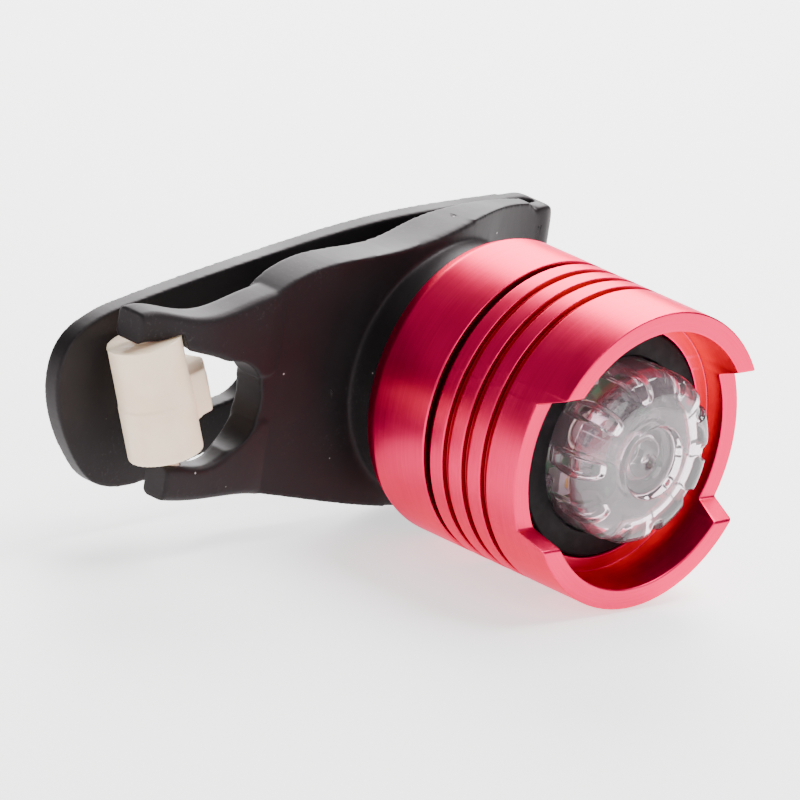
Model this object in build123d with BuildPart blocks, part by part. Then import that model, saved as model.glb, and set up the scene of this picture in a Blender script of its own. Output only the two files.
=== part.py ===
from build123d import *
import math
import os

os.makedirs("parts", exist_ok=True)

# Bicycle tail light: a turned lamp head on a moulded silicone seat-post mount.
# X runs along the mount, from the hook (-X) to the fold of the strap (+X).
# The lamp shines along -Y, and the seat post stands along Z behind the saddle.
# The origin is the middle of the saddle that rests on the post. Sizes are in mm.

# Lamp head: where it sits and its outside
lamp_x = 10.0             # lamp axis to the right of the saddle's middle
lamp_back_y = -8.7        # back face of the lamp's cup
barrel_radius = 16.0
cup_length = 9.0          # back face to the waist gap
cup_taper_length = 1.5
cup_taper = 0.7
waist_gap = 0.9           # open line between cup and bezel, with the seal behind it
bezel_length = 15.8       # waist gap to the front rim
rim_wall = 2.15
groove_width = 0.9
groove_depth = 0.7
groove_pitch = 2.75       # the gap and the three grooves are evenly spaced
groove_count = 3
notch_depth = 3.4
notch_mouth = 16.2        # width at the rim
notch_floor = 13.6        # width at the bottom of the notch

# Lamp head: inside
cup_floor = 2.2
cup_wall = 4.4
neck_inset = 2.8          # barrel to the threaded neck, at the mean thread size
neck_length = 5.5         # beyond the cup's shoulder
lip_back = 18.8           # back of the bezel's inner lip, from the lamp's back face
lip_thickness = 1.2
lip_inset = 3.7           # barrel to the bore of the lip
running_fit = 0.05        # radial clearance of parts that turn or slide in each other
loose_fit = 0.15          # radial clearance of parts that only lie in place
seat_gap = 0.1            # clearance between faces that stack up
cut_margin = 1.0          # how far a cutter reaches past the surface it cuts

# Seal, collar and lens
seal_wire_radius = 0.7
seal_groove_depth = 0.45
collar_thickness = 1.2
collar_rise = 1.5         # how far the collar's middle stands into the lip
collar_width = 3.0        # lip's bore to the lens
lens_flange_width = 2.2
lens_flange_thickness = 1.2
lens_shelf = 1.2          # width of the clamp ring's shoulder that stops the flange
lens_wall = 1.4
lens_front_wall = 1.7
lens_shoulder_run = 2.6   # radial width of the rounded shoulder
lens_shoulder_rise = 2.4
lens_reach = 26.2         # front face of the lens, from the lamp's back face
lens_travel = 0.8
dimple_radius = 3.4
dimple_depth = 0.5
flute_count = 10
flute_radius = 1.05
flute_length = 6.4
flute_tilt = 48.0         # degrees from the lamp axis
flute_lift = 0.52         # flute axis outside the middle of the shoulder's arc
lens_post_radius = 2.0

# Power and electronics
tray_wall = 1.3           # leaves room for a CR2032 cell, 20 mm across
cell_height = 3.2
cell_count = 2
cell_cap_inset = 1.6      # raised cap of the cell's thinner pole
cell_cap_height = 0.35
cell_cap_slope = 0.2
can_gap = 0.02            # between stacked cells
tray_floor = 0.8
spring_height = 0.9
contact_sheet = 0.2
washer_inset = 1.4
washer_foot_width = 1.1
washer_crown_radius = 3.0
washer_bore_radius = 1.6
washer_lean = 0.1         # the sloping sheet's outer face, outside its inner one
front_contact_inset = 3.0
cover_height = 2.6
board_thickness = 1.0
board_inset = 0.4
led_room = 0.5            # light chip to the lens wall
led_length = 3.5
led_width = 2.8
led_height = 1.6
led_eye_radius = 1.0      # mouth of the well
led_well_radius = 0.8     # floor of the well
led_well_depth = 0.7
led_eye_drop = 0.1        # resin's surface below the case's top
led_eye_height = 0.55
switch_size = 4.6
switch_height = 2.2
switch_floor = 0.4
plunger_radius = 1.5
screw_inset = 2.6         # screw's axis from the board's edge
screw_radius = 0.7
screw_head_radius = 1.35
screw_head_height = 0.8
screw_length = 3.0
screw_cross_length = 2.1
screw_cross_width = 0.35
screw_cross_depth = 0.4
chip_room = 0.8           # driver chip to the lens wall
chip_width = 3.0
chip_length = 4.0
chip_height = 1.4
resistor_room = 1.45      # chip resistors to the screw heads
resistor_count = 3
resistor_pitch = 2.4
resistor_length = 1.6
resistor_width = 0.8
resistor_height = 0.5

# Stud that holds the lamp in the silicone
stud_neck_radius = 3.4
stud_neck_length = 2.6
stud_head_radius = 6.0
stud_head_height = 2.4
stud_head_chamfer = 0.6
stud_hole_depth = 3.8
stud_screw_radius = 1.2
stud_screw_head_radius = 2.2
stud_screw_head_height = 1.3
stud_screw_length = 4.5
stud_cross_length = 3.5
stud_cross_width = 0.6
stud_cross_depth = 0.6
silicone_gap = 0.3        # between the lamp's back face and the silicone

# Silicone mount
boss_inset = 2.5          # barrel to the boss behind it
plate_thickness = 4.3
plate_left = -16.0
plate_right = 25.2
plate_end_corner = 2.0
plate_half_left = 10.6    # half height where the fork begins
plate_shoulder_x = -10.0
plate_half_shoulder = 13.0
plate_shoulder_below = 11.8 # the lower edge is slimmer beside the fork
plate_half_middle = 13.8  # half height beside the saddle's middle
plate_half_wide = 15.2    # half height beside the lamp
plate_half_right = 15.1
plate_left_front = -3.5   # front and back faces of the plate's left end
plate_left_back = 0.3
plate_end_back = 2.1      # the right end's back face curls towards the strap
arm_corner = 0.7
window_x = -20.5          # round end of the fork's window
window_z = -0.8
window_radius = 4.9
strap_thickness = 2.0
strap_root_top = 14.4     # where the strap leaves the fold
strap_root_bottom = -6.8
strap_block = 20.0        # half height of the block that the strap is cut from
strap_tip_x = -36.9
strap_slack = 6.2         # saddle to the slack strap's inner face
strap_tip_y = 4.7
fold_gap = 1.3            # between the plate's end and the strap folded behind it
eye_x = -16.7             # middle of the eye
eye_z = -0.1
eye_length = 19.2
eye_height = 10.2
eye_corner = 3.8
eye_tilt = 7.3            # degrees that the slack strap droops towards its tip
fold_reach = 1.0          # fold's middle beyond the plate's end
fold_corner = 2.4

# Hook
hook_x = -28.4
hook_y = -0.9
hook_z = 0.5
hook_lean_x = 0.27        # the top leans left and back, as the soft arms let it
hook_lean_y = 0.20
barrel_hook_radius = 3.9
barrel_hook_length = 12.4
spigot_radius = 1.1
spigot_length = 2.0
spine_reach = 8.0         # hook axis to the spine's outer side
spine_thickness = 2.7
spine_height = 4.8
spine_corner = 2.6        # round of the spine's lower corner
spine_drop = 1.1          # spine's middle below the barrel's middle, to lie level with the eye
spine_root_half = 2.2     # half thickness of the web between barrel and spine
spine_bevel_run = 2.5     # the spine's front corner is cut off aslant
spine_bevel_rise = 2.8
nose_length = 6.6
hook_mouth = 5.0          # room for the strap between barrel and nose
nose_thickness = 1.9
nose_corner = 1.0

# Free curves of the silicone, as points along X and Y seen from above
plate_end_front = plate_end_back - strap_thickness
fold_x = plate_right + fold_reach
plate_front_run = [
    (plate_left, plate_left_front), (0, -plate_thickness), (lamp_x, -3.7), (18, -1.4),
    (plate_right, plate_end_front),
]
plate_back_run = [
    (plate_right, plate_end_back), (13, 1.4), (8, 1.3), (0, 0), (-10, 0.7), (plate_left, plate_left_back),
]
strap_run = [
    (fold_x, plate_end_back + fold_gap), (18, 3.6), (lamp_x, 5.2), (0, strap_slack), (-12, 5.8),
    (-24, 4.9), (strap_tip_x, strap_tip_y),
]

# Outline of the strap along X and Z, from the fold over the top, round the tip and back below
strap_edge = [
    (fold_x, strap_root_top), (16, 14.2), (4, 12.6), (-8, 11.0), (-20, 9.7), (-28, 8.6), (-33, 7.3),
    (-36, 5.0), (strap_tip_x, 1.5), (-35.7, -3.2), (-33.1, -7.4), (-29.6, -10.6), (-25.5, -11.6),
    (-18, -10.8), (-9.5, -9.1), (4, -7.4), (fold_x, strap_root_bottom),
]

# Arms of the fork: places along X, each with the arm's middle in Y and Z, its depth and its height
upper_arm = [
    (-14, -1.7, 6.6, 3.8, 9.2), (-18.5, -1.8, 6.6, 3.8, 7.6), (-21.5, -1.8, 7.0, 3.8, 5.4),
    (-24.5, -1.7, 7.3, 3.8, 4.1),
    (-29, -0.6, 8.2, 3.8, 3.4), (-32.2, 0.4, 8.1, 3.8, 3.3),
]
lower_arm = [
    (-14, -1.7, -6.9, 3.8, 8.6), (-18.5, -2.3, -7.7, 3.4, 5.8), (-23, -2.7, -8.6, 2.8, 3.7),
    (-26.5, -2.5, -8.2, 3.2, 3.9), (-28.2, -2.4, -8.1, 3.2, 3.6),
]

# Planes and axes of the lamp head
lamp_centre = Vector(lamp_x, lamp_back_y, 0)
lamp_plane = Plane(origin=lamp_centre, x_dir=(1, 0, 0), z_dir=(0, -1, 0))
lamp_section = Plane(origin=lamp_centre, x_dir=(1, 0, 0), z_dir=(0, 0, -1))
lamp_axis = Axis(lamp_centre, (0, -1, 0))

# Radii of the lamp head, from its outside inwards
rim_bore_radius = barrel_radius - rim_wall
neck_radius = barrel_radius - neck_inset
lip_bore_radius = barrel_radius - lip_inset
boss_radius = barrel_radius - boss_inset
cup_bore_radius = barrel_radius - cup_wall
tray_radius = cup_bore_radius - loose_fit
pocket_radius = tray_radius - tray_wall
cell_radius = pocket_radius - loose_fit
board_radius = cup_bore_radius - board_inset
bezel_bore_radius = neck_radius + running_fit
insert_radius = neck_radius
seal_groove_radius = neck_radius - seal_groove_depth
lens_radius = lip_bore_radius - collar_width
lens_flange_radius = lens_radius + lens_flange_width
lens_bore_radius = lens_radius - lens_wall
washer_rim_radius = cell_radius - washer_inset
washer_foot_radius = washer_rim_radius - washer_foot_width
screw_offset = board_radius - screw_inset
led_offset = lens_bore_radius - led_room - led_width / 2
chip_offset = lens_bore_radius - chip_room - chip_width / 2
resistor_offset = screw_offset - screw_head_radius - resistor_room - resistor_length / 2

# Stations along the lamp axis, counted forward from the lamp's back face
bezel_back = cup_length + waist_gap
rim = bezel_back + bezel_length
neck_front = cup_length + neck_length
lip_front = lip_back + lip_thickness
collar_back = lip_back - collar_thickness
seal_groove_front = cup_length + 2 * seal_wire_radius + seat_gap
lens_flange_back = collar_back - seat_gap - lens_flange_thickness
tray_back = cup_floor + seat_gap
cells_back = tray_back + tray_floor + spring_height
cells_front = cells_back + cell_count * (cell_height + can_gap)
cover_back = cells_front + contact_sheet + 2 * can_gap
board_back = cover_back + cover_height
board_front = board_back + board_thickness
switch_front = board_front + switch_height
plunger_front = switch_front + lens_travel + seat_gap
plunger_back = board_front + switch_floor + lens_travel + seat_gap
shoulder_middle = 1 - math.cos(math.pi / 4)   # share of the lens shoulder's run at its arc's middle


def ahead(distance):
    """Plane square to the lamp axis, at a distance in front of the lamp's back face."""
    return lamp_plane.offset(distance)


def turned(outline):
    """Face in the lamp's section: pairs of radius and distance ahead, ready to revolve."""
    with BuildSketch(lamp_section) as section:
        with BuildLine():
            Polyline(*outline, close=True)
        make_face()
    return section.sketch


def save(piece, name):
    """Labels a finished piece and writes its file."""
    piece.label = name
    export_step(piece, f"parts/{name}.step")


# Rear cup: floor, wall and threaded neck, turned from one bar
with BuildPart() as rear_cup:
    revolve(turned([
        (0, 0), (barrel_radius - cup_taper, 0), (barrel_radius, cup_taper_length),
        (barrel_radius, cup_length), (seal_groove_radius, cup_length),
        (seal_groove_radius, seal_groove_front), (neck_radius, seal_groove_front),
        (neck_radius, neck_front), (cup_bore_radius, neck_front),
        (cup_bore_radius, cup_floor), (0, cup_floor),
    ]), axis=lamp_axis)
    with Locations(ahead(cup_floor)):
        CounterBoreHole(stud_screw_radius + running_fit, stud_screw_head_radius + loose_fit,
                        stud_screw_head_height + seat_gap)
save(rear_cup.part, "rear_cup")

# Front bezel: grooved barrel with an inner lip, and a notch on each side of its rim
with BuildPart() as front_bezel:
    seal_room_radius = seal_groove_radius + 2 * seal_wire_radius + loose_fit
    seal_room_front = seal_groove_front + seat_gap
    revolve(turned([
        (seal_room_radius, bezel_back), (barrel_radius, bezel_back), (barrel_radius, rim),
        (rim_bore_radius, rim), (rim_bore_radius, lip_front), (lip_bore_radius, lip_front),
        (lip_bore_radius, lip_back), (bezel_bore_radius, lip_back),
        (bezel_bore_radius, seal_room_front), (seal_room_radius, seal_room_front),
    ]), axis=lamp_axis)
    for groove in range(1, groove_count + 1):
        start = cup_length + groove * groove_pitch
        revolve(turned([
            (barrel_radius - groove_depth, start), (barrel_radius + cut_margin, start),
            (barrel_radius + cut_margin, start + groove_width),
            (barrel_radius - groove_depth, start + groove_width),
        ]), axis=lamp_axis, mode=Mode.SUBTRACT)
    with BuildSketch(Plane.YZ.offset(lamp_x)):
        with BuildLine():
            notch_front_y = lamp_back_y - rim
            notch_floor_y = notch_front_y + notch_depth
            Polyline((notch_front_y, -notch_mouth / 2), (notch_front_y, notch_mouth / 2),
                     (notch_floor_y, notch_floor / 2), (notch_floor_y, -notch_floor / 2), close=True)
        make_face()
    extrude(amount=barrel_radius + cut_margin, both=True, mode=Mode.SUBTRACT)
save(front_bezel.part, "front_bezel")

# Waist seal: rubber ring in the neck's groove, seen black in the gap
with BuildPart() as waist_seal:
    seal_middle = cup_length + seal_wire_radius + seat_gap / 2
    with BuildSketch(lamp_section):
        with Locations((seal_groove_radius + seal_wire_radius, seal_middle)):
            Circle(seal_wire_radius)
    revolve(axis=lamp_axis)
save(waist_seal.part, "waist_seal")

# Collar: black rubber diaphragm clamped behind the bezel's lip, round the lens
with BuildPart() as lens_collar:
    collar_middle_radius = lip_bore_radius - loose_fit
    collar_bore_radius = lens_radius + loose_fit
    revolve(turned([
        (collar_bore_radius, collar_back), (insert_radius, collar_back), (insert_radius, lip_back),
        (collar_middle_radius, lip_back), (collar_middle_radius, lip_back + collar_rise),
        (collar_bore_radius, lip_back + collar_rise),
    ]), axis=lamp_axis)
save(lens_collar.part, "lens_collar")

# Clamp ring: pressed by the neck, it holds the collar and carries the lens flange
with BuildPart() as clamp_ring:
    ring_back = neck_front + seat_gap
    shoulder_front = lens_flange_back - lens_travel - seat_gap
    revolve(turned([
        (lens_flange_radius - lens_shelf, ring_back), (insert_radius, ring_back),
        (insert_radius, collar_back),
        (lens_flange_radius + loose_fit, collar_back), (lens_flange_radius + loose_fit, shoulder_front),
        (lens_flange_radius - lens_shelf, shoulder_front),
    ]), axis=lamp_axis)
save(clamp_ring.part, "clamp_ring")

# Lens: clear cap with a rounded shoulder, flutes, a thumb dimple and a post for the switch
with BuildPart() as lens:
    shoulder_back = lens_reach - lens_shoulder_rise
    face_radius = lens_radius - lens_shoulder_run
    inner_front = lens_reach - lens_front_wall
    inner_face_radius = face_radius - lens_wall / 2
    with BuildSketch(lamp_section):
        with BuildLine():
            Polyline((0, lens_reach), (0, inner_front), (inner_face_radius, inner_front),
                     (lens_bore_radius, shoulder_back), (lens_bore_radius, lens_flange_back),
                     (lens_flange_radius, lens_flange_back),
                     (lens_flange_radius, lens_flange_back + lens_flange_thickness),
                     (lens_radius, lens_flange_back + lens_flange_thickness), (lens_radius, shoulder_back))
            ThreePointArc((lens_radius, shoulder_back),
                          (lens_radius - lens_shoulder_run * shoulder_middle,
                           lens_reach - lens_shoulder_rise * shoulder_middle),
                          (face_radius, lens_reach))
            Line((face_radius, lens_reach), (0, lens_reach))
        make_face()
    revolve(axis=lamp_axis)
    with BuildSketch(ahead(plunger_front + seat_gap / 2)):
        Circle(lens_post_radius)
    extrude(amount=inner_front - plunger_front - seat_gap / 2)
    dimple_ball = (dimple_radius ** 2 + dimple_depth ** 2) / (2 * dimple_depth)
    with Locations(ahead(lens_reach + dimple_ball - dimple_depth)):
        Sphere(dimple_ball, mode=Mode.SUBTRACT)
    with Locations(ahead(lens_reach - lens_shoulder_rise * shoulder_middle + flute_lift)):
        with PolarLocations(lens_radius - lens_shoulder_run * shoulder_middle + flute_lift, flute_count):
            Cylinder(flute_radius, flute_length, rotation=(0, -flute_tilt, 0), mode=Mode.SUBTRACT)
save(lens.part, "lens")

# Battery tray: a cup for the cells, with a slot for the contact strip
with BuildPart() as battery_tray:
    revolve(turned([
        (0, tray_back), (tray_radius, tray_back), (tray_radius, cover_back - seat_gap),
        (pocket_radius, cover_back - seat_gap), (pocket_radius, tray_back + tray_floor),
        (0, tray_back + tray_floor),
    ]), axis=lamp_axis)
save(battery_tray.part, "battery_tray")

# Coin cells: two in series, each with its stepped can
with BuildPart() as coin_cells:
    for cell in range(cell_count):
        can_back = cells_back + cell * (cell_height + can_gap)
        revolve(turned([
            (0, can_back), (cell_radius - cell_cap_inset, can_back),
            (cell_radius - cell_cap_inset + cell_cap_slope, can_back + cell_cap_height),
            (cell_radius, can_back + cell_cap_height), (cell_radius, can_back + cell_height),
            (0, can_back + cell_height),
        ]), axis=lamp_axis)
save(coin_cells.part, "coin_cells")

# Rear contact: a dished spring washer under the cells
with BuildPart() as rear_contact:
    washer_back = tray_back + tray_floor
    crown_front = cells_back - can_gap
    crown_back = cells_back - contact_sheet
    revolve(turned([
        (washer_crown_radius, crown_back), (washer_foot_radius, washer_back),
        (washer_rim_radius, washer_back), (washer_rim_radius, washer_back + contact_sheet),
        (washer_foot_radius + washer_lean, washer_back + contact_sheet),
        (washer_crown_radius + washer_lean, crown_front),
        (washer_bore_radius, crown_front), (washer_bore_radius, crown_back),
    ]), axis=lamp_axis)
save(rear_contact.part, "rear_contact")

# Cell cover: closes the tray and carries the board
with BuildPart() as cell_cover:
    with BuildSketch(ahead(cover_back)):
        Circle(tray_radius)
    extrude(amount=cover_height)
    with Locations(ahead(cover_back + cover_height)):
        with GridLocations(2 * screw_offset, 0, 2, 1):
            Hole(screw_radius, depth=screw_length - board_thickness + loose_fit)
save(cell_cover.part, "cell_cover")

# Front contact: a sheet between the upper cell and the cover
with BuildPart() as front_contact:
    with BuildSketch(ahead(cells_front)):
        Circle(cell_radius - front_contact_inset)
    extrude(amount=contact_sheet)
save(front_contact.part, "front_contact")

# Circuit board
with BuildPart() as circuit_board:
    with BuildSketch(ahead(board_back)):
        Circle(board_radius)
    extrude(amount=board_thickness)
    with Locations(ahead(board_front)):
        with GridLocations(2 * screw_offset, 0, 2, 1):
            Hole(screw_radius + running_fit)
save(circuit_board.part, "circuit_board")

# Board screws: two pan heads
with BuildPart() as board_screws:
    with Locations(ahead(board_front)):
        with GridLocations(2 * screw_offset, 0, 2, 1):
            Cylinder(screw_head_radius, screw_head_height, align=(Align.CENTER, Align.CENTER, Align.MIN))
            Cylinder(screw_radius - running_fit, screw_length,
                     align=(Align.CENTER, Align.CENTER, Align.MAX))
    with Locations(ahead(board_front + screw_head_height)):
        with GridLocations(2 * screw_offset, 0, 2, 1):
            Box(screw_cross_length, screw_cross_width, 2 * screw_cross_depth, mode=Mode.SUBTRACT)
            Box(screw_cross_width, screw_cross_length, 2 * screw_cross_depth, mode=Mode.SUBTRACT)
save(board_screws.part, "board_screws")

# Light chips above and below the switch: white cases and yellow eyes
with BuildPart() as led_cases:
    with Locations(ahead(board_front)):
        with GridLocations(0, 2 * led_offset, 1, 2):
            Box(led_length, led_width, led_height, align=(Align.CENTER, Align.CENTER, Align.MIN))
            with Locations((0, 0, led_height)):
                Cone(led_well_radius, led_eye_radius, led_well_depth,
                     align=(Align.CENTER, Align.CENTER, Align.MAX), mode=Mode.SUBTRACT)
save(led_cases.part, "led_cases")

with BuildPart() as led_eyes:
    with Locations(ahead(board_front + led_height - led_eye_drop)):
        with GridLocations(0, 2 * led_offset, 1, 2):
            Cylinder(led_well_radius, led_eye_height, align=(Align.CENTER, Align.CENTER, Align.MAX))
save(led_eyes.part, "led_eyes")

# Tact switch under the lens post: case with a round well, and its plunger
with BuildPart() as switch_case:
    with BuildSketch(ahead(board_front)):
        Rectangle(switch_size, switch_size)
    extrude(amount=switch_height)
    with Locations(ahead(switch_front)):
        Hole(plunger_radius + running_fit, depth=switch_height - switch_floor)
save(switch_case.part, "switch_case")

with BuildPart() as switch_plunger:
    with BuildSketch(ahead(plunger_back)):
        Circle(plunger_radius)
    extrude(amount=plunger_front - plunger_back)
save(switch_plunger.part, "switch_plunger")

# Driver chip and chip resistors on the board
with BuildPart() as driver_chip:
    with Locations(ahead(board_front) * Location((chip_offset, 0, 0))):
        Box(chip_width, chip_length, chip_height, align=(Align.CENTER, Align.CENTER, Align.MIN))
save(driver_chip.part, "driver_chip")

with BuildPart() as chip_resistors:
    with Locations(ahead(board_front) * Location((-resistor_offset, 0, 0))):
        with GridLocations(0, resistor_pitch, 1, resistor_count):
            Box(resistor_length, resistor_width, resistor_height,
                align=(Align.CENTER, Align.CENTER, Align.MIN))
save(chip_resistors.part, "chip_resistors")

# Mounting stud: a mushroom button screwed to the cup's floor, held in the silicone
with BuildPart() as mount_stud:
    with BuildSketch(lamp_plane):
        Circle(stud_neck_radius)
    extrude(amount=-stud_neck_length)
    with BuildSketch(ahead(-stud_neck_length)):
        Circle(stud_head_radius)
    extrude(amount=-stud_head_height)
    chamfer(mount_stud.edges().group_by(Axis.Y)[-1], stud_head_chamfer)
    with Locations(lamp_plane):
        Hole(stud_screw_radius + running_fit, depth=stud_hole_depth)
save(mount_stud.part, "mount_stud")

with BuildPart() as stud_screw:
    with Locations(ahead(cup_floor - stud_screw_head_height)):
        Cylinder(stud_screw_head_radius, stud_screw_head_height,
                 align=(Align.CENTER, Align.CENTER, Align.MIN))
        Cylinder(stud_screw_radius, stud_screw_length, align=(Align.CENTER, Align.CENTER, Align.MAX))
    with Locations(ahead(cup_floor)):
        Box(stud_cross_length, stud_cross_width, 2 * stud_cross_depth, mode=Mode.SUBTRACT)
        Box(stud_cross_width, stud_cross_length, 2 * stud_cross_depth, mode=Mode.SUBTRACT)
save(stud_screw.part, "stud_screw")

# Silicone mount: plate with a shallow saddle behind, a boss in front, and a fork of two arms
hook_axis = Vector(-hook_lean_x, hook_lean_y, 1)
hook_plane = Plane(origin=(hook_x, hook_y, hook_z), x_dir=(1, 0, 0), z_dir=hook_axis)
hook_side = Plane(origin=hook_plane.origin, x_dir=hook_plane.x_dir, z_dir=-hook_plane.y_dir)

with BuildPart() as mount_body:
    with BuildSketch(Plane.XZ.offset(plate_thickness + cut_margin)):
        with BuildLine():
            Spline((plate_left, plate_half_left), (plate_shoulder_x, plate_half_shoulder),
                   (0, plate_half_middle), (lamp_x, plate_half_wide),
                   (plate_right - plate_end_corner, plate_half_right))
            RadiusArc((plate_right - plate_end_corner, plate_half_right),
                      (plate_right, plate_half_right - plate_end_corner), plate_end_corner)
            Line((plate_right, plate_half_right - plate_end_corner),
                 (plate_right, plate_end_corner - plate_half_right))
            RadiusArc((plate_right, plate_end_corner - plate_half_right),
                      (plate_right - plate_end_corner, -plate_half_right), plate_end_corner)
            Spline((plate_right - plate_end_corner, -plate_half_right), (lamp_x, -plate_half_wide),
                   (0, -plate_half_middle), (plate_shoulder_x, -plate_shoulder_below),
                   (plate_left, -plate_half_left))
            Line((plate_left, -plate_half_left), (plate_left, plate_half_left))
        make_face()
    extrude(amount=-2 * (plate_thickness + cut_margin))
    with BuildSketch(Plane.XY.offset(-plate_half_wide - cut_margin)):
        with BuildLine():
            Spline(*plate_front_run)
            Line(plate_front_run[-1], plate_back_run[0])
            Spline(*plate_back_run)
            Line(plate_back_run[-1], plate_front_run[0])
        make_face()
    extrude(amount=2 * (plate_half_wide + cut_margin), mode=Mode.INTERSECT)
    with BuildSketch(ahead(-silicone_gap)):
        Circle(boss_radius)
    extrude(amount=lamp_back_y + silicone_gap)
    for arm in (upper_arm, lower_arm):
        for place, middle_y, middle_z, depth, height in arm:
            with BuildSketch(Plane.YZ.offset(place)):
                with Locations((middle_y, middle_z)):
                    RectangleRounded(depth, height, arm_corner)
        loft()
    with BuildSketch(Plane.XZ.offset(plate_thickness + cut_margin)):
        with Locations((window_x, window_z)):
            Circle(window_radius)
    extrude(amount=-2 * (plate_thickness + cut_margin), mode=Mode.SUBTRACT)
    with BuildSketch(hook_plane):
        Circle(barrel_hook_radius + silicone_gap)
    extrude(amount=barrel_hook_length / 2 + seat_gap, both=True, mode=Mode.SUBTRACT)
    with BuildSketch(hook_plane):
        Circle(spigot_radius + running_fit)
    extrude(amount=barrel_hook_length / 2 + spigot_length + seat_gap, both=True, mode=Mode.SUBTRACT)
    with BuildSketch(ahead(0)):
        Circle(stud_neck_radius + running_fit)
    extrude(amount=-stud_neck_length - seat_gap, mode=Mode.SUBTRACT)
    with BuildSketch(ahead(seat_gap - stud_neck_length)):
        Circle(stud_head_radius + running_fit)
    extrude(amount=-stud_head_height - 2 * seat_gap, mode=Mode.SUBTRACT)
save(mount_body.part, "mount_body")

# Strap: its run behind the saddle in plan, cut to its outline with a rounded tip and an eye
with BuildPart() as strap:
    with BuildSketch(Plane.XY.offset(-strap_block)):
        with BuildLine():
            Spline(*strap_run)
            Line((strap_tip_x, strap_tip_y), (strap_tip_x, strap_tip_y + strap_thickness))
            Spline(*[(x, y + strap_thickness) for x, y in reversed(strap_run)])
            Line((fold_x, plate_end_back + fold_gap + strap_thickness), (fold_x, plate_end_back + fold_gap))
        make_face()
    extrude(amount=2 * strap_block)
    with BuildSketch(Plane.XZ):
        with BuildLine():
            Spline(*strap_edge)
            Line(strap_edge[-1], strap_edge[0])
        make_face()
        with Locations((eye_x, eye_z)):
            RectangleRounded(eye_length, eye_height, eye_corner, rotation=eye_tilt, mode=Mode.SUBTRACT)
    extrude(amount=-2 * strap_slack, mode=Mode.INTERSECT)
save(strap.part, "strap")

# Fold: the strap's root turning behind the plate's end
with BuildPart() as strap_bend:
    fold_middle_y = plate_end_back + fold_gap / 2
    fold_radius = strap_thickness + fold_gap / 2
    strap_root_height = strap_root_top - strap_root_bottom
    with BuildSketch(Plane.XY.offset(strap_root_bottom)):
        with Locations((fold_x, fold_middle_y)):
            Circle(fold_radius)
            Circle(fold_gap / 2, mode=Mode.SUBTRACT)
            Rectangle(2 * fold_radius, 2 * fold_radius, align=(Align.MAX, Align.CENTER), mode=Mode.SUBTRACT)
        with Locations((plate_right, plate_end_front)):
            Rectangle(fold_x - plate_right, strap_thickness, align=(Align.MIN, Align.MIN))
    extrude(amount=strap_root_height)
    with BuildSketch(Plane.XZ.offset(fold_radius)):
        with Locations((0, (strap_root_top + strap_root_bottom) / 2)):
            RectangleRounded(2 * (fold_x + fold_radius), strap_root_height, fold_corner)
    extrude(amount=-4 * fold_radius, mode=Mode.INTERSECT)
save(strap_bend.part, "strap_bend")

# Hook: nylon barrel between the arms, with a spine through the strap's eye and a nose behind it
with BuildPart() as spine:
    mouth = barrel_hook_radius + hook_mouth
    nose_back = mouth + nose_thickness
    with BuildSketch(hook_plane.offset(-spine_drop)):
        with BuildLine():
            Polyline((0, -spine_root_half), (spine_reach - spine_bevel_run, -spine_root_half),
                     (spine_reach, spine_bevel_rise - spine_root_half),
                     (spine_reach, nose_back - nose_corner), (spine_reach - nose_corner, nose_back),
                     (spine_reach - nose_length, nose_back), (spine_reach - nose_length, mouth),
                     (spine_reach - spine_thickness, mouth),
                     (spine_reach - spine_thickness, spine_root_half), (0, spine_root_half), close=True)
        make_face()
    extrude(amount=spine_height / 2, both=True)
    with BuildSketch(hook_side) as side_view:
        with Locations((0, -spine_drop)):
            Rectangle(2 * spine_reach, spine_height)
        fillet(side_view.vertices().sort_by(Axis.Y)[:2], spine_corner)
    extrude(amount=2 * nose_back, both=True, mode=Mode.INTERSECT)

with BuildPart() as hook:
    with BuildSketch(hook_plane):
        Circle(barrel_hook_radius)
    extrude(amount=barrel_hook_length / 2, both=True)
    with BuildSketch(hook_plane):
        Circle(spigot_radius)
    extrude(amount=barrel_hook_length / 2 + spigot_length, both=True)
    add(spine.part)
save(hook.part, "hook")
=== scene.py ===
# %% [markdown]
# ## The imported frame
# A bicycle tail light is a turned lamp head on a soft silicone mount. The imported CAD pieces give every
# place and every motion, and this lesson dresses them. Sizes are in millimetres and become metres in one
# place, so that each number can be read as it would stand on a drawing.

# %% Load the frame and the helpers for boxes and bodies
import math
import bmesh
import bpy
from mathutils import Matrix, Vector


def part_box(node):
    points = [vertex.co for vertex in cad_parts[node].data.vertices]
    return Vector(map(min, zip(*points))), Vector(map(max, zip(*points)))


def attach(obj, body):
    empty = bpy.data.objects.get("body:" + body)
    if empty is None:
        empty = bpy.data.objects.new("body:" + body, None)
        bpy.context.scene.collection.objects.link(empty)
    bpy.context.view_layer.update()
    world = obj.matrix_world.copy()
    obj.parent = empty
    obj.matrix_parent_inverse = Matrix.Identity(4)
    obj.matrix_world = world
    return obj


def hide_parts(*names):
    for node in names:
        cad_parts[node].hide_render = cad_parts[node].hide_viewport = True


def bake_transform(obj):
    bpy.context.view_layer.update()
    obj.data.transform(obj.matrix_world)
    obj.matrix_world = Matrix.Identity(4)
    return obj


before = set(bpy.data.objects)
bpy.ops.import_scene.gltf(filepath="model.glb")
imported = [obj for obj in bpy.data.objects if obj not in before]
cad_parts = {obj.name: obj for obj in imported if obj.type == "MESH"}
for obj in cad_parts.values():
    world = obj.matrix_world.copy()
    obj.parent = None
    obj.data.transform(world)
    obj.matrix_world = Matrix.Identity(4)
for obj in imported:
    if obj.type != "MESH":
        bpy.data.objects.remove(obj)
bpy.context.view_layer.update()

MM = 0.001

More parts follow.
